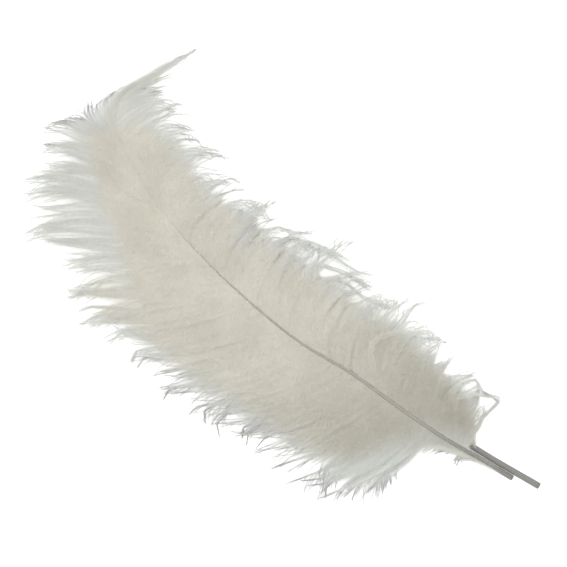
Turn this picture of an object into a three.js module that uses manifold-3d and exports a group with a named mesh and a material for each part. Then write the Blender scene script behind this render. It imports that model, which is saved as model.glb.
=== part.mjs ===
// A double-ply ostrich plume: two bleached ostrich feathers laid one on the other, quills together.
// Millimetres, +Z up. The plume lies on z = 0 with its quills towards -Y and its crown towards +Y.
// Each feather grew as one piece, a tapering shaft with a vane of soft barbs on either side. A vane
// is drawn as flat pointed locks of barbs, joined to the shaft in one solid.

import * as THREE from 'three';
import Module from 'manifold-3d';

const wasm = await Module();
wasm.setup();

const DEGREE = Math.PI / 180;

// Shaft: a keratin rod, nearly round, that is cut square at the quill and thins to a hair.
const SHAFT_SIDES = 12;
const SHAFT_STEPS = 26;
const TIP_RADIUS = 0.35;
const TAPER_POWER = 1.2;

// Locks: flat blades of barbs with a diamond section.
const LOCK_SIDES = 4;
const LOCK_OUTLINE = [ // share of the length, share of the full width
  [0.07, 0.8], [0.28, 1], [0.56, 0.9], [0.8, 0.55], [0.93, 0.24],
];
const LEAVE_PULL = 0.36; // how far a lock keeps the way it leaves the shaft, in chord lengths
const ARRIVE_PULL = 0.34; // the same for the way its tip points
const TIP_HEIGHT = 0.6;
const SMALLEST_DETAIL = 0.05;

// The upper feather. Guides give the run of the barbs: how far up the shaft one grows, where its
// tip lies, the angle it leaves the shaft at, and the way its tip points (degrees from +X).
const FRONT = {
  name: 'front_feather',
  quillRadius: 1.6,
  shaft: [
    [18.9, -163.2, 1.6], [14.9, -140.9, 4.9], [10.2, -117.2, 8.8], [6.3, -86.6, 11], [2.7, -51, 12.4],
    [-3.4, -17.7, 13], [-5.2, 19.3, 13], [-4, 59.1, 12.6], [-0.1, 89.7, 12], [5.5, 114, 11.2],
    [12, 132.9, 10.4], [22, 147.9, 9.4], [35.6, 154.5, 7.4], [54.1, 149.2, 4.4],
  ],
  lockThickness: 2.6,
  rise: 11,
  sag: 0.5,
  left: {
    locks: 24,
    lockWidth: 14,
    guides: [
      { from: 24, tip: [-3, -115], leave: 12, arrive: 150 },
      { from: 40, tip: [-31, -113], leave: 22, arrive: 212 },
      { from: 56, tip: [-42, -103], leave: 28, arrive: 195 },
      { from: 72, tip: [-56, -96], leave: 35, arrive: 184 },
      { from: 84, tip: [-65, -83], leave: 40, arrive: 168 },
      { from: 98, tip: [-70, -65], leave: 45, arrive: 160 },
      { from: 124, tip: [-70, -38], leave: 48, arrive: 154 },
      { from: 147, tip: [-81, -6], leave: 46, arrive: 150 },
      { from: 163, tip: [-86, 20], leave: 44, arrive: 146 },
      { from: 178, tip: [-79, 48], leave: 42, arrive: 141 },
      { from: 196, tip: [-77, 86], leave: 38, arrive: 140 },
      { from: 212, tip: [-65, 110], leave: 36, arrive: 138 },
      { from: 232, tip: [-61, 148], leave: 28, arrive: 140 },
      { from: 252, tip: [-43, 164], leave: 24, arrive: 142 },
      { from: 272, tip: [-20, 171], leave: 24, arrive: 138 },
      { from: 286, tip: [-9, 180], leave: 22, arrive: 134 },
      { from: 298, tip: [-3, 181], leave: 22, arrive: 120 },
      { from: 310, tip: [19, 166], leave: 20, arrive: 80 },
    ],
  },
  right: {
    locks: 24,
    lockWidth: 14,
    guides: [
      { from: 32, tip: [33, -125], leave: 42, arrive: 25 },
      { from: 49, tip: [45, -108], leave: 57, arrive: 16 },
      { from: 78, tip: [49, -77], leave: 58, arrive: -3 },
      { from: 96, tip: [62, -59], leave: 55, arrive: -45 },
      { from: 122, tip: [50, -38], leave: 50, arrive: -60 },
      { from: 147, tip: [54, -24], leave: 50, arrive: -70 },
      { from: 165, tip: [46, 0], leave: 50, arrive: -72 },
      { from: 184, tip: [49, 17], leave: 50, arrive: -56 },
      { from: 212, tip: [38, 41], leave: 50, arrive: -62 },
      { from: 237, tip: [41, 57], leave: 50, arrive: -64 },
      { from: 262, tip: [44, 83], leave: 50, arrive: -62 },
      { from: 290, tip: [49, 111], leave: 50, arrive: -62 },
      { from: 314, tip: [50, 127], leave: 54, arrive: -58 },
      { from: 334, tip: [60, 141], leave: 40, arrive: -27 },
      { from: 349, tip: [85, 139.5], leave: 12, arrive: -20 },
    ],
  },
};

// The under feather: its quill is the longer one, its vanes are shorter, and its upper left edge
// is rolled over, which gives the straight slanting end of the guides there.
const BACK = {
  name: 'back_feather',
  quillRadius: 1.9,
  shaft: [
    [25.8, -178, 1.9], [21.4, -156, 1.9], [17.6, -135.3, 2.2], [10, -86, 4.4], [5.8, -51, 5.4],
    [1.5, -17.7, 5.8], [-1, 19.3, 5.8], [0.5, 59.1, 5.5], [4.5, 92, 4.9], [11, 121, 3.8], [20, 140, 2.6],
  ],
  lockThickness: 2,
  rise: -0.6,
  sag: 0.35,
  left: {
    locks: 16,
    lockWidth: 16,
    guides: [
      { from: 66, tip: [-16, -90], leave: 30, arrive: 160 },
      { from: 82, tip: [-30, -80], leave: 35, arrive: 168 },
      { from: 102, tip: [-40, -68], leave: 40, arrive: 164 },
      { from: 130, tip: [-47, -42], leave: 45, arrive: 156 },
      { from: 180, tip: [-54, 15], leave: 44, arrive: 145 },
      { from: 210, tip: [-51, 50], leave: 42, arrive: 140 },
      { from: 232, tip: [-37, 80], leave: 38, arrive: 140 },
      { from: 256, tip: [-29, 98], leave: 32, arrive: 136 },
      { from: 284, tip: [-17, 121], leave: 28, arrive: 132 },
      { from: 312, tip: [7, 150], leave: 20, arrive: 115 },
    ],
  },
  right: {
    locks: 16,
    lockWidth: 16,
    guides: [
      { from: 52, tip: [33, -117], leave: 42, arrive: 25 },
      { from: 80, tip: [40, -88], leave: 50, arrive: 8 },
      { from: 120, tip: [41, -42], leave: 52, arrive: -25 },
      { from: 170, tip: [35, 12], leave: 50, arrive: -45 },
      { from: 220, tip: [28, 58], leave: 48, arrive: -50 },
      { from: 262, tip: [28, 94], leave: 45, arrive: -50 },
      { from: 290, tip: [31, 114], leave: 44, arrive: -42 },
      { from: 314, tip: [25, 134], leave: 34, arrive: 10 },
    ],
  },
};

const plumeWhite = {
  front: new THREE.MeshStandardMaterial({ color: '#dedcd2', roughness: 0.9, metalness: 0 }),
  back: new THREE.MeshStandardMaterial({ color: '#cbc8bc', roughness: 0.9, metalness: 0 }),
};

// A closed solid through a row of elliptical rings, each square to the path, with a point on the
// path itself at either end. Each station says how far along it is and its two half sizes.
function sweptSolid(path, stations, sides) {
  const vertices = [path.getPoint(0)];
  const triangles = [];
  const ringPoint = (ring, side) => 1 + ring * sides + (side % sides);
  for (const { t, halfWidth, halfHeight } of stations) {
    const centre = path.getPoint(t);
    const along = path.getTangent(t);
    const across = new THREE.Vector3(along.y, -along.x, 0).normalize();
    const up = new THREE.Vector3().crossVectors(across, along);
    for (let side = 0; side < sides; side += 1) {
      const angle = (2 * Math.PI * side) / sides;
      const point = centre.clone();
      point.addScaledVector(across, halfWidth * Math.cos(angle));
      point.addScaledVector(up, halfHeight * Math.sin(angle));
      vertices.push(point);
    }
  }
  vertices.push(path.getPoint(1));
  const lastRing = stations.length - 1;
  const end = vertices.length - 1;
  for (let side = 0; side < sides; side += 1) {
    triangles.push(0, ringPoint(0, side), ringPoint(0, side + 1));
    for (let ring = 0; ring < lastRing; ring += 1) {
      triangles.push(ringPoint(ring, side), ringPoint(ring + 1, side), ringPoint(ring, side + 1));
      triangles.push(ringPoint(ring, side + 1), ringPoint(ring + 1, side), ringPoint(ring + 1, side + 1));
    }
    triangles.push(end, ringPoint(lastRing, side + 1), ringPoint(lastRing, side));
  }
  const mesh = new wasm.Mesh({
    numProp: 3,
    vertProperties: new Float32Array(vertices.flatMap((point) => point.toArray())),
    triVerts: new Uint32Array(triangles),
  });
  return new wasm.Manifold(mesh);
}

function shaftSolid(curve, quillRadius) {
  const stations = [];
  for (let step = 0; step <= SHAFT_STEPS; step += 1) {
    const t = step / SHAFT_STEPS;
    const radius = THREE.MathUtils.lerp(quillRadius, TIP_RADIUS, t ** TAPER_POWER);
    stations.push({ t, halfWidth: radius, halfHeight: radius });
  }
  return sweptSolid(curve, stations, SHAFT_SIDES);
}

// The guide for a lock part of the way between two guides; place runs from 0 to 1 over them all.
function guideAt(guides, place) {
  const position = place * (guides.length - 1);
  const index = Math.min(Math.floor(position), guides.length - 2);
  const low = guides[index];
  const high = guides[index + 1];
  const blend = (key) => THREE.MathUtils.lerp(low[key], high[key], position - index);
  const tip = [0, 1].map((axis) => THREE.MathUtils.lerp(low.tip[axis], high.tip[axis], position - index));
  return { from: blend('from'), tip, leave: blend('leave'), arrive: blend('arrive') };
}

// The line that a lock follows: out of the shaft, slightly up or down, and over to its tip.
function lockPath(feather, curve, guide, side) {
  const u = guide.from / curve.getLength();
  const root = curve.getPointAt(u);
  const forward = curve.getTangentAt(u);
  const tip = new THREE.Vector3(guide.tip[0], guide.tip[1], TIP_HEIGHT);
  const chord = Math.hypot(tip.x - root.x, tip.y - root.y);
  const leaving = Math.atan2(forward.y, forward.x) + side * guide.leave * DEGREE;
  const arriving = guide.arrive * DEGREE;
  const first = new THREE.Vector3(
    root.x + LEAVE_PULL * chord * Math.cos(leaving),
    root.y + LEAVE_PULL * chord * Math.sin(leaving),
    root.z + feather.rise,
  );
  const second = new THREE.Vector3(
    tip.x - ARRIVE_PULL * chord * Math.cos(arriving),
    tip.y - ARRIVE_PULL * chord * Math.sin(arriving),
    root.z * feather.sag,
  );
  return new THREE.CubicBezierCurve3(root, first, second, tip);
}

function lockSolid(path, width, thickness) {
  const stations = LOCK_OUTLINE.map(([t, fullness]) => ({
    t,
    halfWidth: 0.5 * width * fullness,
    halfHeight: Math.min(0.5 * thickness * (1.15 - t), path.getPoint(t).z),
  }));
  return sweptSolid(path, stations, LOCK_SIDES);
}

// Where locks cross they may close in a speck of nothing; the grown piece is the largest.
function largestPiece(solid) {
  return solid.decompose().reduce((largest, piece) => (piece.volume() > largest.volume() ? piece : largest));
}

function featherMesh(feather, material) {
  const points = feather.shaft.map(([x, y, z]) => new THREE.Vector3(x, y, z));
  const curve = new THREE.CatmullRomCurve3(points, false, 'catmullrom', 0.5);
  let solid = shaftSolid(curve, feather.quillRadius);
  for (const [vane, side] of [[feather.left, 1], [feather.right, -1]]) {
    for (let lock = 0; lock < vane.locks; lock += 1) {
      const guide = guideAt(vane.guides, lock / (vane.locks - 1));
      const path = lockPath(feather, curve, guide, side);
      solid = solid.add(lockSolid(path, vane.lockWidth, feather.lockThickness));
    }
  }
  const { vertProperties, triVerts } = largestPiece(solid.simplify(SMALLEST_DETAIL)).getMesh();
  const geometry = new THREE.BufferGeometry();
  geometry.setAttribute('position', new THREE.BufferAttribute(vertProperties, 3));
  geometry.setIndex(new THREE.BufferAttribute(triVerts, 1));
  geometry.computeVertexNormals();
  const mesh = new THREE.Mesh(geometry, material);
  mesh.name = feather.name;
  return mesh;
}

const group = new THREE.Group();
group.add(featherMesh(BACK, plumeWhite.back));
group.add(featherMesh(FRONT, plumeWhite.front));

export default group;
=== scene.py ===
import math

import bpy
import numpy as np
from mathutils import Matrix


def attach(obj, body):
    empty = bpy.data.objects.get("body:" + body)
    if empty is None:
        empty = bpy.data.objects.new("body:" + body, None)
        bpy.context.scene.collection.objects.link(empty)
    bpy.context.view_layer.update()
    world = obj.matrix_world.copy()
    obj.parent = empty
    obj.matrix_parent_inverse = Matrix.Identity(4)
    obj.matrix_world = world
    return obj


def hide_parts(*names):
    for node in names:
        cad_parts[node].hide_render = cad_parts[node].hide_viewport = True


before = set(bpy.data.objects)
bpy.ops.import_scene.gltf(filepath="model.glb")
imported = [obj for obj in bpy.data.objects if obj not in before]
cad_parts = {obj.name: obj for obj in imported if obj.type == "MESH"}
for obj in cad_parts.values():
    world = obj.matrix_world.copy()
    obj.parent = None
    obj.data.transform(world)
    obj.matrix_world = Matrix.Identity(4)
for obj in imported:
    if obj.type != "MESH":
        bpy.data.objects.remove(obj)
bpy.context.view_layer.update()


# Camera: straight above the plume as it lies, turned so that the quills point to the lower right.
# Its lens gives the view its width at the height of the vanes.
MM = 0.001
CAMERA_CENTRE = (15.66 * MM, 11.88 * MM)
CAMERA_HEIGHT = 1208 * MM
CAMERA_TURN = math.radians(-48.54)
SENSOR_WIDTH = 36
VIEW_WIDTH = 328.9 * MM
VANE_HEIGHT = 8 * MM

camera_data = bpy.data.cameras.new("camera")
camera_data.sensor_width = SENSOR_WIDTH
camera_data.lens = SENSOR_WIDTH * (CAMERA_HEIGHT - VANE_HEIGHT) / VIEW_WIDTH
camera = bpy.data.objects.new("camera", camera_data)
camera.location = (*CAMERA_CENTRE, CAMERA_HEIGHT)
camera.rotation_euler = (0, 0, CAMERA_TURN)
bpy.context.scene.collection.objects.link(camera)
bpy.context.scene.camera = camera


# Back shaft: the under feather's rod of keratin, round at the quill, which is cut square and
# hollow, and thinning to a hair at the crown. It grew in one with its barbs.
# From here on lengths are in millimetres, and a pair of lists is a curve: places, and values there.
BACK_SHAFT = [
    (25.8, -178, 1.9), (21.4, -156, 1.9), (17.6, -135.3, 2.2), (10, -86, 4.4), (5.8, -51, 5.4),
    (1.5, -17.7, 5.8), (-1, 19.3, 5.8), (0.5, 59.1, 5.5), (4.5, 92, 4.9), (11, 121, 3.8), (20, 140, 2.6),
]
BACK_QUILL_RADIUS = 1.9
SHAFT_TIP_RADIUS = 0.18
SHAFT_TAPER = 1.2  # above 1 the rod stays thick for longer
SHAFT_UNEVENNESS = 0.02  # of its radius
SHAFT_RIPPLE = 60  # radians of unevenness along the whole rod
SHAFT_FLATNESS = ([0, 0.15, 0.4, 1], [1, 0.96, 0.85, 0.85])
SHAFT_SIDES = 18
SHAFT_STEPS = 240
HOLLOW_SHARE = 0.62  # of the quill's radius
HOLLOW_DEPTH = 5
STREAK_WIDTH = 0.5  # the real fibres are finer, and are drawn this coarse so that they show
STREAK_LENGTH = 25
STREAK_TINT = "#dcdbd6"
SHAFT_SPAN = (-180, 160)
HEADING_REACH = 0.5  # how far to either side of a place its heading is taken


def catmull_rom(points, steps=40):
    """A smooth line through the points."""
    points = np.array(points, float)
    padded = np.vstack([2 * points[0] - points[1], points, 2 * points[-1] - points[-2]])
    t = np.linspace(0, 1, steps, endpoint=False)[:, None]
    spans = []
    for a, b, c, d in zip(padded, padded[1:], padded[2:], padded[3:]):
        span = 2 * b + (c - a) * t + (2 * a - 5 * b + 4 * c - d) * t**2 + (3 * b - a - 3 * c + d) * t**3
        spans.append(0.5 * span)
    return np.vstack(spans + [points[-1:]])


def unit(vectors):
    return vectors / np.linalg.norm(vectors, axis=-1, keepdims=True)


def line_lengths(lines):
    return np.linalg.norm(np.diff(lines, axis=-2), axis=-1).sum(-1)


def walk(line, distance):
    """Where a line is at these distances along it, and which way it heads there."""
    run = np.concatenate([[0], np.cumsum(np.linalg.norm(np.diff(line, axis=0), axis=1))])

    def at(along):
        return np.stack([np.interp(along, run, line[:, axis]) for axis in range(3)], -1)

    distance = np.clip(distance, HEADING_REACH, run[-1] - HEADING_REACH)
    return at(distance), unit(at(distance + HEADING_REACH) - at(distance - HEADING_REACH))


def side_and_up(heading):
    """The level direction to the right of a heading, and the one square to both."""
    right = unit(np.cross(heading, [0.0, 0.0, 1.0]))
    return right, np.cross(right, heading)


def mesh_object(name, vertices, faces, material):
    """A mesh from arrays in millimetres; all the faces have the same number of corners."""
    corners = faces.shape[1]
    mesh = bpy.data.meshes.new(name)
    mesh.vertices.add(len(vertices))
    mesh.vertices.foreach_set("co", (vertices * MM).astype(np.float32).ravel())
    mesh.loops.add(faces.size)
    mesh.loops.foreach_set("vertex_index", faces.astype(np.int32).ravel())
    mesh.polygons.add(len(faces))
    mesh.polygons.foreach_set("loop_start", np.arange(0, faces.size, corners, dtype=np.int32))
    mesh.polygons.foreach_set("use_smooth", np.full(len(faces), True))
    mesh.update(calc_edges=True)
    mesh.materials.append(material)
    piece = bpy.data.objects.new(name, mesh)
    bpy.context.scene.collection.objects.link(piece)
    return piece


def linear(hex_colour):
    """An sRGB hex colour as the linear colour that shaders take."""
    channels = [int(hex_colour[i:i + 2], 16) / 255 for i in (1, 3, 5)]
    return (*[c / 12.92 if c <= 0.04045 else ((c + 0.055) / 1.055) ** 2.4 for c in channels], 1)


def node(tree, kind, links=(), **settings):
    """Adds a shader node. A setting is one of its own or, with in_ before it, an input's value."""
    made = tree.nodes.new(kind)
    for name, value in settings.items():
        if name.startswith("in_"):
            made.inputs[name[3:].replace("_", " ")].default_value = value
        else:
            setattr(made, name, value)
    for socket, source in links:
        tree.links.new(source, made.inputs[socket])
    return made


def keratin(name, quill, middle, crown):
    """Bleached shaft keratin: a horn-like rod that grew in fine fibres, so that faint streaks run
    along it under a dull waxy gloss. It gets paler as it thins, and up to the first barbs it has the
    grey of the bare quill. Along its middle the tone is partly painted shade: it is darkened to stand
    for the shadow in the groove between the barbs on either side."""
    material = bpy.data.materials.new(name)
    material.use_nodes = True
    tree = material.node_tree
    shader = tree.nodes["Principled BSDF"]
    place = node(tree, "ShaderNodeTexCoord")
    stretch = node(
        tree, "ShaderNodeMapping", [("Vector", place.outputs["Object"])],
        in_Scale=(1 / (STREAK_WIDTH * MM), 1 / (STREAK_LENGTH * MM), 1 / (STREAK_WIDTH * MM)),
    )
    streaks = node(
        tree, "ShaderNodeTexNoise", [("Vector", stretch.outputs[0])], in_Scale=1.0, in_Detail=3.0
    )
    spot = node(tree, "ShaderNodeSeparateXYZ", [("Vector", place.outputs["Object"])])
    up_the_shaft = node(
        tree, "ShaderNodeMapRange", [("Value", spot.outputs["Y"])],
        in_From_Min=SHAFT_SPAN[0] * MM, in_From_Max=SHAFT_SPAN[1] * MM,
    )
    tone = node(tree, "ShaderNodeValToRGB", [("Fac", up_the_shaft.outputs["Result"])])
    for position, hex_tone in [(0.13, quill), (0.24, middle), (0.75, middle), (0.92, crown)]:
        tone.color_ramp.elements.new(position).color = linear(hex_tone)
    for unused in (tone.color_ramp.elements[-1], tone.color_ramp.elements[0]):
        tone.color_ramp.elements.remove(unused)
    colour = node(
        tree, "ShaderNodeMixRGB",
        [("Fac", streaks.outputs["Fac"]), ("Color1", tone.outputs["Color"])],
        blend_type="MULTIPLY", in_Color2=linear(STREAK_TINT),
    )
    bump = node(
        tree, "ShaderNodeBump", [("Height", streaks.outputs["Fac"])],
        in_Strength=0.25, in_Distance=0.05 * MM,
    )
    tree.links.new(colour.outputs["Color"], shader.inputs["Base Color"])
    tree.links.new(bump.outputs["Normal"], shader.inputs["Normal"])
    shader.inputs["Roughness"].default_value = 0.6
    shader.inputs["IOR"].default_value = 1.54
    return material


def shaft_piece(name, line, quill_radius, material, rng):
    """A tapering rod along a line, slightly uneven, with the hollow of the quill at its cut end."""
    length = line_lengths(line)
    centres, heading = walk(line, np.linspace(HEADING_REACH, length - HEADING_REACH, SHAFT_STEPS))
    centres[0], centres[-1] = line[0], line[-1]
    right, up = side_and_up(heading)
    share = np.linspace(0, 1, SHAFT_STEPS)
    radius = quill_radius + (SHAFT_TIP_RADIUS - quill_radius) * share**SHAFT_TAPER
    radius = radius * (1 + SHAFT_UNEVENNESS * np.sin(share * SHAFT_RIPPLE + rng.uniform(0, 6)))
    height = radius * np.interp(share, *SHAFT_FLATNESS)
    angle = np.linspace(0, 2 * math.pi, SHAFT_SIDES, endpoint=False)[None, :, None]
    across = right[:, None] * np.cos(angle) * radius[:, None, None]
    rings = centres[:, None] + across + up[:, None] * np.sin(angle) * height[:, None, None]
    bore = centres[0] + HOLLOW_SHARE * (rings[0] - centres[0])
    inside = bore + heading[0] * HOLLOW_DEPTH
    rings = np.concatenate([inside[None], bore[None], rings])
    corner = np.arange(len(rings) * SHAFT_SIDES).reshape(-1, SHAFT_SIDES)
    following = np.roll(corner, -1, axis=1)
    quads = np.stack([corner[:-1], corner[1:], following[1:], following[:-1]], -1).reshape(-1, 4)
    return mesh_object(name, rings.reshape(-1, 3), quads, material)


# The middle tone is darkened as painted shade, for the shadow along the groove in which the shaft lies
# between its barbs.
quill_keratin = keratin("bleached quill keratin", quill="#7d7c78", middle="#95938a", crown="#b0aea4")
back_line = catmull_rom(BACK_SHAFT)
back_shaft = shaft_piece(
    "back_shaft", back_line, BACK_QUILL_RADIUS, quill_keratin, np.random.default_rng(3)
)
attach(back_shaft, "root")
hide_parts("back_feather")


# Back vanes: the under feather's barbs, each a soft thread that grew from the shaft, with loose
# barbules down both sides. Nothing hooks them together, so they lie in drifts. The upper left edge
# is rolled over.
# A guide is: how far up the shaft, tip x, tip y, angle it leaves at, way the tip points.
BACK_LEFT = [
    (52, 6, -106, 18, 140), (66, -18, -94, 30, 160), (82, -35, -86, 35, 168), (102, -46, -71, 40, 164),
    (130, -53, -44, 45, 156), (176, -60, 12, 44, 150), (200, -60, 42, 44, 155), (222, -45, 70, 45, 185),
    (246, -29, 97, 50, 224), (280, -18, 120, 52, 234), (302, -4, 139, 50, 232), (318, 7, 151, 40, 215),
]
BACK_RIGHT = [
    (42, 20, -130, 8, 100), (46, 28, -126, 20, 50), (52, 34, -118, 42, 25), (80, 41, -87, 50, 8),
    (120, 38, -43, 52, -25), (170, 32, 12, 50, -45), (220, 29, 56, 48, -50), (262, 28, 90, 45, -50),
    (288, 38, 113, 44, -42), (314, 29, 135, 34, 10),
]
LINE_POINTS = 32
ROOT_RISE = 0.5
LEAVE_PULL = 0.36  # shares of a barb's span that its curve keeps to the way it leaves and arrives
ARRIVE_PULL = 0.34
ARRIVE_LIFT = 0.3
TIP_WEIGHT = 1.3  # how much the gaps between tips count, against those between roots
REACH = ([300, 340], [1.06, 1.12])  # longest barbs, in shares of their curve, against how far up
TIDY_TAIL = ([300, 335], [1, 0.2])  # how loose the wisps are, against how far up they grow
WISP_UNEVENNESS = 1.1
LEAVE_SCATTER = 6  # degrees, as all the scatters but the tips'
ARRIVE_SCATTER = 9
WISP_SCATTER = 14
TIP_SCATTER = 1.5
GATHER_PULL = (0.8, 1)
GATHER_EASE = 1.2
STRAY_PULL = 0.3
WAVES = (1.2, 3)
WAVE_EASE = 1.5
CURL_FROM = 0.72
CURL_EASE = 1.5


def guide_at(guides, place):
    """The guide at these places, counted in guides from the quill end."""
    return np.stack([np.interp(place, np.arange(len(guides)), column) for column in guides.T], -1)


def even_places(guides, shares):
    """Places, counted in guides, at these shares of the way along the roots and tips together."""
    tip_gaps = np.linalg.norm(np.diff(guides[:, 1:3], axis=0), axis=1)
    steps = np.diff(guides[:, 0]) + TIP_WEIGHT * tip_gaps
    run = np.concatenate([[0], np.cumsum(steps)]) / steps.sum()
    return np.interp(shares, run, np.arange(len(guides)))


def arched_lines(shaft, side, guide, lift, sag, tip_height, reach):
    """Lines that leave the shaft, rise a little, and come over and down to their tips."""
    roots, heading = walk(shaft, guide[:, 0])
    roots[:, 2] += ROOT_RISE
    tips = guide[:, 1:3]
    chord = np.linalg.norm(tips - roots[:, :2], axis=1)[:, None]
    leaving = np.arctan2(heading[:, 1], heading[:, 0]) + side * np.radians(guide[:, 3])
    arriving = np.radians(guide[:, 4])
    leave = np.stack([np.cos(leaving), np.sin(leaving)], -1)
    arrive = np.stack([np.cos(arriving), np.sin(arriving)], -1)
    first = np.column_stack([roots[:, :2] + LEAVE_PULL * chord * leave, roots[:, 2] + lift])
    low = roots[:, 2] * sag + ARRIVE_LIFT * lift
    second = np.column_stack([tips - ARRIVE_PULL * chord * arrive, low])
    third = np.column_stack([tips, tip_height])
    t = (np.linspace(0, 1, LINE_POINTS)[None] * reach[:, None])[..., None]
    a, b, c, d = (points[:, None] for points in (roots, first, second, third))
    return a * (1 - t)**3 + 3 * b * (1 - t)**2 * t + 3 * c * (1 - t) * t**2 + d * t**3


def bent(lines, turn):
    """The lines with each step turned by these angles, seen from above."""
    steps = np.diff(lines, axis=1)
    turned = np.stack([
        steps[..., 0] * np.cos(turn) - steps[..., 1] * np.sin(turn),
        steps[..., 0] * np.sin(turn) + steps[..., 1] * np.cos(turn),
        steps[..., 2],
    ], -1)
    return np.concatenate([lines[:, :1], lines[:, :1] + np.cumsum(turned, axis=1)], axis=1)


def barb_lines(shaft, guides, side, barbs, wisps, rng, gather_from, short, lift, sag, tip_height,
               wave, curl, tip_spread, strays):
    """Lines of barbs along one side of a shaft, drawn together into wisps towards their tips, and
    how far up the shaft each one grows. A curl is in degrees: its curve, and its scatter from barb
    to barb and from wisp to wisp."""
    guides = np.array(guides, float)
    shares = (np.arange(barbs) + rng.uniform(0, 1, barbs)) / barbs
    shifts = rng.uniform(-WISP_UNEVENNESS, WISP_UNEVENNESS, wisps - 1)
    cuts = np.sort((np.arange(1, wisps) + shifts) / wisps)
    wisp = np.searchsorted(cuts, shares)
    ends = np.concatenate([[0], cuts, [1]])

    own = guide_at(guides, even_places(guides, shares))
    own[:, 3] += rng.normal(0, LEAVE_SCATTER, barbs)
    own[:, 4] += rng.normal(0, ARRIVE_SCATTER, barbs)
    stray = rng.random(barbs) < strays
    tidier = np.interp(own[stray, 0], *TIDY_TAIL)[:, None]
    off = rng.uniform(-TIP_SCATTER, TIP_SCATTER, (stray.sum(), 2))
    own[stray, 1:3] += off * tip_spread * tidier
    reach = np.interp(own[:, 0], *REACH) - np.interp(own[:, 0], *short) * rng.random(barbs)
    lines = arched_lines(
        shaft, side, own, rng.uniform(*lift, barbs), sag, rng.uniform(*tip_height, barbs), reach
    )

    drawn = guide_at(guides, even_places(guides, 0.5 * (ends[:-1] + ends[1:])))
    tidier = np.interp(drawn[:, 0], *TIDY_TAIL)
    off = rng.uniform(-TIP_SCATTER, TIP_SCATTER, (wisps, 2))
    drawn[:, 1:3] += off * tip_spread * tidier[:, None]
    drawn[:, 4] += rng.normal(0, WISP_SCATTER, wisps) * tidier
    rise, end_height = rng.uniform(*lift, wisps), rng.uniform(*tip_height, wisps)
    wisp_lines = arched_lines(shaft, side, drawn[wisp], rise[wisp], sag, end_height[wisp], reach)
    share = np.linspace(0, 1, LINE_POINTS)[None]
    pull = rng.uniform(*GATHER_PULL, (barbs, 1))
    gather_from = np.interp(own[:, 0], *gather_from)[:, None]
    pull = pull * np.clip((share - gather_from) / (1 - gather_from), 0, 1) ** GATHER_EASE
    pull[stray] *= STRAY_PULL
    lines = lines + pull[..., None] * (wisp_lines - lines)

    share = share[:, 1:]
    phase = rng.uniform(0, 2 * math.pi, (barbs, 1))
    waves = rng.uniform(*WAVES, (barbs, 1))
    turn = wave * np.sin(2 * math.pi * share * waves + phase) * share**WAVE_EASE
    bend_curve, barb_scatter, wisp_scatter = curl
    bend = np.interp(own[:, 0], *bend_curve) + rng.normal(0, wisp_scatter, wisps)[wisp]
    bend = bend * np.interp(own[:, 0], *TIDY_TAIL)
    bend = bend[:, None] + rng.normal(0, barb_scatter, (barbs, 1))
    curled = np.clip((share - CURL_FROM) / (1 - CURL_FROM), 0, 1) ** CURL_EASE
    return bent(lines, turn + np.radians(bend) * curled), own[:, 0]


def points_along(lines, share):
    """Every line's points at these shares of its length."""
    where = share * (lines.shape[1] - 1)
    low = np.minimum(where.astype(int), lines.shape[1] - 2)
    part = (where - low)[None, :, None]
    return lines[:, low] * (1 - part) + lines[:, low + 1] * part


STEM_STATIONS = 12
STEM_TAPER = ([0, 0.5, 0.95, 1], [1, 1, 1.3, 0.4])
LONG_BARB = 40  # from this length on its barbules are full size
SMALLEST_SIZE = 0.2
THIN_FULLNESS = ([0, 0.25, 0.4, 1], [1, 0.85, 0.5, 0.14])  # barbules' size, against thinness
ROOT_FULLNESS = ([0, 0.012, 0.03, 0.08], [0.2, 0.5, 0.75, 1])  # against the share of the barb
BASE_FULLNESS = ([30, 80], [1, 0])  # at least this, against how far up the barb grows
BARBULE_SWEEP = ([0, 0.5, 0.9, 1], [52, 40, 24, 14])  # degrees from the barb's way
SWEEP_SCATTER = 0.25  # radians, as the next two
TILT_SCATTER = 0.42
ROLL = 0.35
ROLL_TURNS = (0.6, 2)
BARBULE_LENGTHS = (0.5, 1.25)
TABLE_CLEARANCE = 0.05


def barb_stems(lines, root_radius, stations):
    """Three-sided threads along the lines, thinning towards the tips."""
    share = np.linspace(0, 1, stations)
    centres = points_along(lines, share)
    right, up = side_and_up(unit(np.gradient(centres, axis=1)))
    radius = (root_radius * np.interp(share, *STEM_TAPER))[None, :, None]
    corners = []
    for angle in (math.pi / 2, math.pi * 7 / 6, math.pi * 11 / 6):
        corners.append(centres + radius * (right * math.cos(angle) + up * math.sin(angle)))
    vertices = np.stack(corners, 2)
    index = np.arange(vertices[..., 0].size).reshape(vertices.shape[:3])
    after = np.roll(index, -1, axis=2)
    a, b, c, d = index[:, :-1], index[:, 1:], after[:, 1:], after[:, :-1]
    triangles = np.stack([np.stack([a, c, b], -1), np.stack([a, d, c], -1)], -2)
    return vertices.reshape(-1, 3), triangles.reshape(-1, 3)


def thinness(grown, thin_from, thin_over, share):
    """How far each barb has thinned from soft down, at 0, to a bare hair, at 1, at these shares."""
    start = np.interp(grown, *thin_from)[:, None]
    return np.clip((share[None] - start) / np.interp(grown, *thin_over)[:, None], 0, 1)


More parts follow.
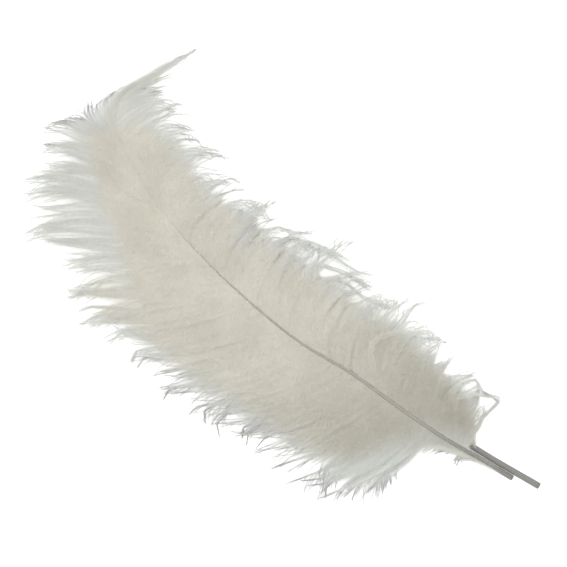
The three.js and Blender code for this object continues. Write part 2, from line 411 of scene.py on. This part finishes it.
def barbule_fringe(lines, grown, thin, longest, rng):
    """Barbules down both sides of the lines, each one a thin pointed triangle swept to the tip.
    Real ones stand several to a millimetre. These are fewer and broader, to show the same cover."""
    barbs, per_side = len(lines), thin.shape[1] - 1
    share = np.linspace(0, 1, per_side + 1)
    stem = points_along(lines, share)
    middle = 0.5 * (stem[:, :-1] + stem[:, 1:])
    forward = unit(stem[:, 1:] - stem[:, :-1])
    right, up = side_and_up(forward)
    share = 0.5 * (share[:-1] + share[1:])[None]
    turns = rng.uniform(*ROLL_TURNS, (barbs, 1))
    roll = ROLL * np.sin(2 * math.pi * (share * turns + rng.uniform(0, 1, (barbs, 1))))
    sweep = np.radians(np.interp(share, *BARBULE_SWEEP))
    size = np.clip(line_lengths(lines) / LONG_BARB, SMALLEST_SIZE, 1)[:, None]
    at_root = np.maximum(np.interp(share, *ROOT_FULLNESS), np.interp(grown, *BASE_FULLNESS)[:, None])
    longest = longest * size * at_root * np.interp(thin[:, :-1], *THIN_FULLNESS)
    apexes = []
    for sign in (1, -1):
        tilt = roll + rng.normal(0, TILT_SCATTER, middle.shape[:2])
        outward = sign * (right * np.cos(tilt)[..., None] + up * np.sin(tilt)[..., None])
        angle = (sweep + rng.normal(0, SWEEP_SCATTER, middle.shape[:2]))[..., None]
        length = (longest * rng.uniform(*BARBULE_LENGTHS, middle.shape[:2]))[..., None]
        apexes.append(middle + length * (forward * np.cos(angle) + outward * np.sin(angle)))
    stems = np.arange(barbs * (per_side + 1)).reshape(barbs, per_side + 1)
    tops = stems.size + np.arange(2 * barbs * per_side).reshape(2, barbs, per_side)
    right_side = np.stack([stems[:, :-1], tops[0], stems[:, 1:]], -1)
    left_side = np.stack([stems[:, :-1], stems[:, 1:], tops[1]], -1)
    vertices = np.concatenate([points.reshape(-1, 3) for points in (stem, *apexes)])
    triangles = np.concatenate([right_side.reshape(-1, 3), left_side.reshape(-1, 3)])
    return vertices, triangles


def barb_piece(name, lines, grown, thin_at, per_side, longest, root_radius, material, rng):
    """One mesh of barbs with their barbules, none of it below the surface the plume lies on."""
    stem_vertices, stem_triangles = barb_stems(lines, root_radius, STEM_STATIONS)
    stem_thin = thin_at(np.linspace(0, 1, STEM_STATIONS))
    thin = thin_at(np.linspace(0, 1, per_side + 1))
    fringe_vertices, fringe_triangles = barbule_fringe(lines, grown, thin, longest, rng)
    vertices = np.concatenate([stem_vertices, fringe_vertices])
    vertices[:, 2] = np.maximum(vertices[:, 2], TABLE_CLEARANCE)
    triangles = np.concatenate([stem_triangles, fringe_triangles + len(stem_vertices)])
    piece = mesh_object(name, vertices, triangles, material)
    values = [np.repeat(stem_thin, 3), thin.ravel(), np.tile(thin[:, :-1].ravel(), 2)]
    values = np.concatenate(values).astype(np.float32)
    piece.data.attributes.new("thinness", "FLOAT", "POINT").data.foreach_set("value", values)
    return piece


PATCH_SIZE = 18  # about as broad as a drift of barbs
CREAM_STOPS = (0.35, 0.65)
BASE_FADE = (-15, -120)
THIN_STOPS = (0.28, 0.5)
COOL_BY = 0.3
LIGHT_THROUGH = 0.55


def down(name, light, dark, base, thin, thinner, tip_tone_and_shade):
    """Bleached barb keratin: matt threads too fine to be solid, that let much light through. They
    are creamy in soft patches where they lie thick, greyer towards the quill, and cool where they
    have thinned. The grey of the thinned tips is partly their own tone and partly painted shade,
    standing in for the shade that the glowing table washes out around them."""
    material = bpy.data.materials.new(name)
    material.use_nodes = True
    tree = material.node_tree
    shader = tree.nodes["Principled BSDF"]
    place = node(tree, "ShaderNodeTexCoord")
    patches = node(
        tree, "ShaderNodeTexNoise", [("Vector", place.outputs["Object"])],
        in_Scale=1 / (PATCH_SIZE * MM), in_Detail=4.0,
    )
    creamy = node(tree, "ShaderNodeValToRGB", [("Fac", patches.outputs["Fac"])])
    for stop, position, hex_colour in zip(creamy.color_ramp.elements, CREAM_STOPS, (dark, light)):
        stop.position, stop.color = position, linear(hex_colour)
    spot = node(tree, "ShaderNodeSeparateXYZ", [("Vector", place.outputs["Object"])])
    towards_quill = node(
        tree, "ShaderNodeMapRange", [("Value", spot.outputs["Y"])],
        in_From_Min=BASE_FADE[0] * MM, in_From_Max=BASE_FADE[1] * MM,
    )
    soft = node(
        tree, "ShaderNodeMixRGB",
        [("Fac", towards_quill.outputs["Result"]), ("Color1", creamy.outputs["Color"])],
        in_Color2=linear(base),
    )
    thinned = node(tree, "ShaderNodeAttribute", attribute_name="thinness")
    # Thinned barbs turn to a cooler grey, darkest at the tips; that grey is partly painted shade.
    thinned_tone_and_shade = node(tree, "ShaderNodeValToRGB", [("Fac", thinned.outputs["Fac"])])
    thinned_tone_and_shade.color_ramp.elements[0].position = THIN_STOPS[0]
    thinned_tone_and_shade.color_ramp.elements[0].color = linear(thin)
    thinned_tone_and_shade.color_ramp.elements[1].color = linear(tip_tone_and_shade)
    thinned_tone_and_shade.color_ramp.elements.new(THIN_STOPS[1]).color = linear(thinner)
    cooling = node(
        tree, "ShaderNodeMapRange", [("Value", thinned.outputs["Fac"])], in_From_Max=COOL_BY
    )
    colour = node(
        tree, "ShaderNodeMixRGB",
        [("Fac", cooling.outputs["Result"]), ("Color1", soft.outputs["Color"]),
         ("Color2", thinned_tone_and_shade.outputs["Color"])],
    )
    tree.links.new(colour.outputs["Color"], shader.inputs["Base Color"])
    shader.inputs["Roughness"].default_value = 0.75
    shader.inputs["IOR"].default_value = 1.54
    shader.inputs["Specular IOR Level"].default_value = 0.2
    lit_through = node(tree, "ShaderNodeBsdfTranslucent", [("Color", colour.outputs["Color"])])
    both = node(
        tree, "ShaderNodeMixShader",
        [(1, shader.outputs["BSDF"]), (2, lit_through.outputs["BSDF"])], in_Fac=LIGHT_THROUGH,
    )
    tree.links.new(both.outputs["Shader"], tree.nodes["Material Output"].inputs["Surface"])
    return material


back_down = down(
    "bleached under plume down", light="#f0eee7", dark="#ebe8e0", base="#dad7cd",
    thin="#efede6", thinner="#efede6", tip_tone_and_shade="#e6e6df",
)
BACK_BARB_RADIUS = 0.12
BACK_BARBS = dict(
    gather_from=([0], [0.85]), short=([0], [0.08]), lift=(1, 7), sag=0.45, tip_height=(0.6, 4),
    wave=0.14, tip_spread=1.2, strays=0.1,
)
BACK_THIN_FROM = ([0, 330], [0.85, 0.9])
BACK_THIN_OVER = ([0, 330], [0.3, 0.4])
back_vanes = [  # name, guides, side, barbs, wisps, curl, barbules a side, longest barbule
    ("back_left_vane", BACK_LEFT, 1, 300, 44, (([0], [0]), 8, 5), 220, 4),
    ("back_right_vane", BACK_RIGHT, -1, 290, 36, (([0], [-10]), 20, 12), 200, 4),
]
for name, guides, side, barbs, wisps, curl, per_side, longest in back_vanes:
    rng = np.random.default_rng(len(name) + side)
    lines, grown = barb_lines(back_line, guides, side, barbs, wisps, rng, curl=curl, **BACK_BARBS)
    piece = barb_piece(
        name, lines, grown, lambda share: thinness(grown, BACK_THIN_FROM, BACK_THIN_OVER, share),
        per_side, longest, BACK_BARB_RADIUS, back_down, rng,
    )
    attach(piece, "root")
    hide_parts("back_feather")


# Front shaft: the upper feather's rod, of the same keratin and cut shorter at the quill. It shows
# as a thin line up the middle of the plume, and bends over at the crown.
FRONT_SHAFT = [
    (18.9, -163.2, 1.6), (14.9, -140.9, 4.9), (10.2, -117.2, 8.8), (6.3, -86.6, 11), (2.7, -51, 12.4),
    (-3.4, -17.7, 13), (-5.2, 19.3, 13), (-4, 59.1, 12.6), (-0.1, 89.7, 12), (5.5, 114, 11.2),
    (12, 132.9, 10.4), (22, 147.9, 9.4), (35.6, 154.5, 7.4), (54.1, 149.2, 4.4),
]
FRONT_QUILL_RADIUS = 1.6

front_line = catmull_rom(FRONT_SHAFT)
front_shaft = shaft_piece(
    "front_shaft", front_line, FRONT_QUILL_RADIUS, quill_keratin, np.random.default_rng(5)
)
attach(front_shaft, "root")
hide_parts("front_feather")


# Front left vane: the upper feather's long barbs, which grew in one with its shaft. They end in
# thin straight wisps, and tufts of stray hairs poke out along the edge. Where the under feather
# does not back them up they look thinner and clearer. Guides are as in the back vanes.
FRONT_LEFT = [
    (8, 9, -135, 6, 150), (16, 4, -125, 10, 150), (24, -2, -113, 20, 160), (36, -6, -104, 40, 195),
    (47, -18, -105, 62, 222), (54, -31, -115, 76, 226), (57, -36, -106, 84, 208), (61, -47, -106, 85, 188),
    (65, -56, -97, 84, 172), (69, -63, -84, 80, 162), (74, -65, -72, 78, 155), (79, -68, -66, 77, 151),
    (86, -67, -53, 75, 146), (95, -67, -37, 74, 142), (107, -71, -17, 71, 138), (119, -74, -3, 69, 136),
    (130, -76, 9, 68, 135), (139, -77, 20, 68, 134), (149, -74, 30, 67, 134), (163, -75, 48, 64, 133),
    (176, -75, 63, 60, 132), (190, -77, 87, 54, 134), (200, -76, 100, 46, 136), (210, -63, 107, 40, 137),
    (220, -61, 121, 34, 138), (228, -59, 136, 30, 139), (236, -60, 149, 26, 140), (244, -45, 151, 26, 142),
    (254, -42, 166, 22, 142), (264, -23, 160, 26, 142), (276, -18, 170, 22, 140), (292, -5, 178, 20, 134),
    (299, 9, 171, 22, 100), (306, 24, 163.5, 26, 10), (313, 34, 159.5, 30, -20), (322, 44, 155, 28, -28),
    (333, 54, 151, 22, -24), (344, 63, 147, 16, -22), (347, 73, 144, 12, -20), (350, 83, 140.5, 8, -22),
    (353, 76, 142, 6, -20),
]
LEFT_GATHER = ([50, 75, 95, 155, 190, 230, 280, 300], [0.5, 0.54, 0.72, 0.7, 0.46, 0.42, 0.5, 0.85])
LEFT_SHORT = ([70, 95, 110, 140, 185, 200], [0.24, 0.34, 0.32, 0.26, 0.2, 0.14])
LEFT_CURL = ([0, 150, 220], [34, 26, 0])
LEFT_THIN_FROM = (
    [0, 130, 180, 195, 225, 240, 280, 305, 330], [0.66, 0.66, 0.7, 0.8, 0.8, 0.7, 0.62, 0.2, 0],
)
LEFT_THIN_OVER = ([0, 150, 190, 230, 290, 330], [0.3, 0.3, 0.4, 0.5, 0.5, 1.3])
LEFT_BEYOND = (  # least thinness beyond the under feather, against how far up the barb grows
    [0, 50, 70, 110, 140, 158, 202, 214, 290, 300],
    [0.16, 0.2, 0.42, 0.5, 0.4, 0.1, 0.08, 0.24, 0.24, 0.12],
)
LEFT_LOW_BARBS = 320  # the vane is in two pieces, and these are in the lower one
FRONT_BARB_RADIUS = 0.17
EDGE_SOFTNESS = ([30, 90], [8, 1.6])  # half the width of the under feather's edge, against y
LEFT_STRAYS = [  # how far up the shaft they grow, where they leave the vane, and where they end
    (54, (-18.8, -101), (-31.1, -113.4)), (57, (-31, -105.6), (-45, -104.8)),
    (60, (-39.2, -98.1), (-55.6, -97.1)), (63, (-52.4, -92), (-66.3, -85)),
    (65, (-49.6, -87.2), (-63.8, -76.5)), (55, (-22.6, -101.2), (-33.3, -108.4)),
    (67, (-52.4, -85), (-62.5, -89.3)), (67, (-51, -82.2), (-64.3, -71.5)),
    (70, (-49.5, -77.8), (-71.8, -66.5)), (82, (-55.9, -61.8), (-70.6, -53.9)),
    (93, (-53.8, -41.3), (-67.2, -39.3)), (97, (-58.1, -32), (-70.2, -34.2)),
    (100, (-58.7, -27.1), (-69.1, -30.1)), (111, (-65.2, -12.7), (-76.7, -19.8)),
    (117, (-65.4, -3.6), (-76, -8.3)), (122, (-68.1, 0.2), (-79, 2.9)),
    (136, (-68.3, 16.3), (-80.3, 28.9)), (142, (-69.8, 18.8), (-82.1, 19.6)),
    (157, (-67.6, 41.7), (-78.6, 42.8)), (162, (-67.6, 47.9), (-78.7, 47.3)),
    (186, (-74.6, 80.3), (-80.9, 85.7)), (189, (-67, 84.8), (-76, 90.7)),
    (204, (-65.6, 93.8), (-74.7, 99.7)),
]
STRAY_BARBS = 6
STRAY_SPREAD = 0.4
STRAY_SAG = 0.1
STRAY_HEIGHTS = (10, 6, 3)  # halfway to the vane's edge, at the edge, and at the end


def beyond(points, outline):
    """How far out of an outline, seen from above, these points are: 0 within it and 1 beyond."""
    x, y = points[..., 0], points[..., 1]
    nearest = np.full(x.shape, np.inf)
    crossings = np.zeros(x.shape, int)
    for (ax, ay), (bx, by) in zip(outline, np.roll(outline, -1, axis=0)):
        along = ((x - ax) * (bx - ax) + (y - ay) * (by - ay)) / ((bx - ax)**2 + (by - ay)**2)
        along = np.clip(along, 0, 1)
        distance = np.hypot(x - ax - along * (bx - ax), y - ay - along * (by - ay))
        nearest = np.minimum(nearest, distance)
        spans = (ay > y) != (by > y)
        crossings += spans & (x < ax + (y - ay) * (bx - ax) / np.where(by == ay, 1e-9, by - ay))
    distance = np.where(crossings % 2 == 1, -nearest, nearest)
    return np.clip(0.5 + 0.5 * distance / np.interp(y, *EDGE_SOFTNESS), 0, 1)


under_outline = np.array([guide[1:3] for guide in BACK_LEFT + BACK_RIGHT[::-1]], float)


def front_thinness(lines, grown, thin_from, thin_over, thin_beyond, share):
    """As thinness, and at least thin_beyond where the under feather does not back the barbs up."""
    alone = beyond(points_along(lines, share), under_outline)
    alone = np.interp(grown, *thin_beyond)[:, None] * alone
    return np.maximum(thinness(grown, thin_from, thin_over, share), alone)


def loose_lines(shaft, grown, path, barbs, spread, rng):
    """A few barbs that have strayed together, on a path of their own from the shaft."""
    root, _ = walk(shaft, np.array([grown]))
    curve = catmull_rom(np.vstack([root, path]))
    share = np.linspace(0, 1, LINE_POINTS)
    middle, _ = walk(curve, share * line_lengths(curve))
    return middle + share[:, None] * rng.normal(0, spread, (barbs, 1, 3))


# The dark grey tip colour here is partly painted shade, for the shade the glowing table washes out around
# the thinned barbs.
front_down = down(
    "bleached upper plume down", light="#f0eee7", dark="#ebe9e1", base="#d8d6cc",
    thin="#ebece9", thinner="#eff0ed", tip_tone_and_shade="#cfcfce",
)
left_lines, left_grown = barb_lines(
    front_line, FRONT_LEFT, side=1, barbs=640, wisps=92, rng=np.random.default_rng(11),
    gather_from=LEFT_GATHER, short=LEFT_SHORT, lift=(1.5, 3.6), sag=0.6, tip_height=(0.5, 5),
    wave=0.18, curl=(LEFT_CURL, 10, 20), tip_spread=2.4, strays=0.14,
)
rng = np.random.default_rng(22)
strays = []
for grown, edge, end in LEFT_STRAYS:
    root = walk(front_line, np.array([grown]))[0][0]
    sag = STRAY_SAG * math.dist(root[:2], edge)
    halfway = (0.5 * (root[0] + edge[0]), 0.5 * (root[1] + edge[1]) - sag)
    path = [(*spot, height) for spot, height in zip((halfway, edge, end), STRAY_HEIGHTS)]
    strays.append(loose_lines(front_line, grown, path, STRAY_BARBS, STRAY_SPREAD, rng))
stray_lines = np.concatenate(strays)
stray_grown = np.repeat([float(grown) for grown, _, _ in LEFT_STRAYS], STRAY_BARBS)
left_pieces = [  # name, lines, how far up they grow, barbules a side, longest barbule
    ("front_left_vane_low", left_lines[:LEFT_LOW_BARBS], left_grown[:LEFT_LOW_BARBS], 265, 4.4),
    ("front_left_vane_high", left_lines[LEFT_LOW_BARBS:], left_grown[LEFT_LOW_BARBS:], 265, 4.4),
    ("front_left_strays", stray_lines, stray_grown, 150, 3.5),
]
for name, lines, grown, per_side, longest in left_pieces:
    piece = barb_piece(
        name, lines, grown,
        lambda share: front_thinness(lines, grown, LEFT_THIN_FROM, LEFT_THIN_OVER, LEFT_BEYOND, share),
        per_side, longest, FRONT_BARB_RADIUS, front_down, np.random.default_rng(len(name)),
    )
    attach(piece, "root")
    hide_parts("front_feather")


# Front right vane: the upper feather's shorter barbs, of the same down. Their ends curl over and
# mat together. Loose ones make the loop at the base, a hooked clump, open loops along the edge and
# two wisps below the tail.
FRONT_RIGHT = [
    (30, 34, -128, 42, 25), (40, 42, -122, 50, 20), (49, 50, -111, 57, 16), (62, 51, -95, 58, 6),
    (78, 50, -79, 58, -3), (88, 56, -71, 56, -30), (96, 65, -60, 55, -45), (110, 57, -46, 52, -60),
    (122, 54, -42, 50, -60), (134, 50, -31, 50, -65), (147, 58, -25, 50, -70), (165, 49, 0, 50, -72),
    (184, 51, 17, 50, -56), (196, 44, 29, 50, -60), (208, 39, 41, 50, -62), (218, 46, 47, 50, -62),
    (237, 44, 57, 50, -64), (254, 46, 76, 50, -62), (268, 48, 90, 50, -62), (278, 49, 101, 50, -62),
    (290, 51, 112, 50, -62), (302, 54, 121, 52, -58), (312, 54, 129, 54, -54), (323, 51, 139, 50, -46),
    (332, 52, 145, 40, -30), (342, 60, 146, 22, -22), (347, 74, 143.2, 12, -22), (350, 81, 140.5, 8, -22),
]
RIGHT_GATHER = ([60, 100, 150, 270, 315], [0.6, 0.56, 0.4, 0.42, 0.8])
RIGHT_SHORT = ([90, 125, 240, 290], [0.33, 0.5, 0.48, 0.33])
RIGHT_CURL = ([0], [-20])
RIGHT_THIN_FROM = ([0, 10, 60, 120, 200, 280, 320, 335], [0.97, 0.75, 0.68, 0.6, 0.5, 0.45, 0.3, 0])
RIGHT_THIN_OVER = ([0, 290, 335], [0.4, 0.65, 1.3])
RIGHT_BEYOND = ([0, 20, 60, 110, 280, 310], [0.5, 0.3, 0.4, 0.55, 0.5, 0.22])
RIGHT_LOW_BARBS = 240
LOOSE_BARBS = [  # how far up the shaft they grow, path, barbs, spread
    (40, [(30, -105, 9), (40, -104, 8), (47.5, -108.5, 7), (46, -114, 6), (44.3, -119.7, 5),
          (48.9, -124.6, 5), (47.4, -127.6, 5), (39.6, -127.2, 4), (31.4, -126.6, 3)], 16, 0.5),
    (44, [(30, -108, 9), (39, -112, 8), (44, -119, 6), (48, -123, 5)], 8, 0.5),
    (92, [(22, -50, 14), (40, -55.5, 10), (51.9, -54, 7), (57.2, -54, 6), (62, -58.5, 5)], 7, 1),
    (78, [(33.7, -62.4, 7), (44.6, -65.9, 5), (50.8, -70.4, 5), (46.8, -75.5, 4)], 6, 1),
    (122, [(29.5, -9.5, 7), (37.7, -10, 6), (40.3, -15.5, 6), (40.3, -27.8, 6), (43.1, -36.2, 6),
           (47.1, -45.1, 5), (53.8, -43.1, 4)], 6, 1),
    (140, [(32.9, 4.3, 6), (40.3, -2.4, 5), (44.6, -11.7, 5), (45.4, -18.7, 5), (47.2, -29.5, 4)], 6, 1),
    (147, [(33, 19.9, 6), (41.7, 14.4, 5), (45.9, 2.6, 5), (47.3, -7.7, 5), (49.9, -19.4, 4),
           (54.1, -25, 3)], 6, 1),
    (165, [(28.9, 26.3, 6), (39.4, 23.2, 5), (45.4, 13.8, 5), (48.4, 2.5, 4), (51.3, -9.6, 3)], 6, 1),
    (184, [(23, 44.3, 7), (32.6, 39.6, 6), (38.9, 35.1, 5), (41.7, 27.5, 5), (49.7, 17.6, 3)], 6, 1),
    (212, [(26.8, 59.3, 6), (31.7, 52, 5), (39.4, 49.5, 4), (38.1, 42.1, 3)], 6, 1),
    (330, [(44, 146, 8), (50, 143.6, 6), (58.4, 139, 4)], 4, 0.7),
    (340, [(51, 146.5, 6), (57.6, 144, 5), (66, 140, 4)], 4, 0.7),
]

right_lines, right_grown = barb_lines(
    front_line, FRONT_RIGHT, side=-1, barbs=470, wisps=60, rng=np.random.default_rng(12),
    gather_from=RIGHT_GATHER, short=RIGHT_SHORT, lift=(2, 4), sag=0.45, tip_height=(0.5, 4),
    wave=0.2, curl=(RIGHT_CURL, 9, 52), tip_spread=4.2, strays=0.1,
)
rng = np.random.default_rng(21)
loose = [
    loose_lines(front_line, grown, path, barbs, spread, rng)
    for grown, path, barbs, spread in LOOSE_BARBS
]
right_lines = np.concatenate([right_lines, *loose])
# The loose ones are as full and soft as the barbs at the quill, so they count as grown there.
right_grown = np.concatenate([right_grown, np.zeros(sum(map(len, loose)))])
right_pieces = [
    ("front_right_vane_low", right_lines[:RIGHT_LOW_BARBS], right_grown[:RIGHT_LOW_BARBS], 200, 4),
    ("front_right_vane_high", right_lines[RIGHT_LOW_BARBS:], right_grown[RIGHT_LOW_BARBS:], 200, 4),
]
for name, lines, grown, per_side, longest in right_pieces:
    piece = barb_piece(
        name, lines, grown,
        lambda share: front_thinness(lines, grown, RIGHT_THIN_FROM, RIGHT_THIN_OVER, RIGHT_BEYOND, share),
        per_side, longest, FRONT_BARB_RADIUS, front_down, np.random.default_rng(len(name)),
    )
    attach(piece, "root")
    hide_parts("front_feather")


# Table and light: a plain white table, a large soft lamp overhead and even light all round. The
# table has a painted glow, an emission though it is no lamp, so that the shade under the barbs and in the
# gaps between them stays white.
TABLE_SIZE = 3000
# Strength of the table's painted glow: an emission, though the table is no lamp.
TABLE_PAINTED_GLOW = 0.25
LAMP_SIZE = 1200 * MM
LAMP_POWER = 10.8
LAMP_PLACE = (120 * MM, 100 * MM, 1350 * MM)
LAMP_TILT = (math.radians(-4), math.radians(5), 0)
ROOM_LIGHT = 0.99
WHITE = (1, 1, 1, 1)

# White table, sanded matt: white all over, with no mirror of the plume in it. Its emission is a painted
# glow that whitens the shadow under the plume.
table_material = bpy.data.materials.new("white table with painted glow")
table_material.use_nodes = True
table_shader = table_material.node_tree.nodes["Principled BSDF"]
table_shader.inputs["Base Color"].default_value = linear("#fbfbfb")
table_shader.inputs["Roughness"].default_value = 0.9
table_shader.inputs["Emission Color"].default_value = WHITE
table_shader.inputs["Emission Strength"].default_value = TABLE_PAINTED_GLOW
table_corners = np.array([(-1, -1, 0), (1, -1, 0), (1, 1, 0), (-1, 1, 0)]) * 0.5 * TABLE_SIZE
mesh_object("table", table_corners, np.array([[0, 1, 2, 3]]), table_material)

lamp_data = bpy.data.lights.new("soft_lamp", "AREA")
lamp_data.shape = "RECTANGLE"
lamp_data.size = LAMP_SIZE
lamp_data.size_y = LAMP_SIZE
lamp_data.energy = LAMP_POWER
lamp = bpy.data.objects.new("soft_lamp", lamp_data)
lamp.location = LAMP_PLACE
lamp.rotation_euler = LAMP_TILT
bpy.context.scene.collection.objects.link(lamp)

world = bpy.data.worlds.new("soft_room")
bpy.context.scene.world = world
world.use_nodes = True
world.node_tree.nodes["Background"].inputs["Color"].default_value = WHITE
world.node_tree.nodes["Background"].inputs["Strength"].default_value = ROOM_LIGHT
bpy.context.scene.view_settings.view_transform = "Standard"
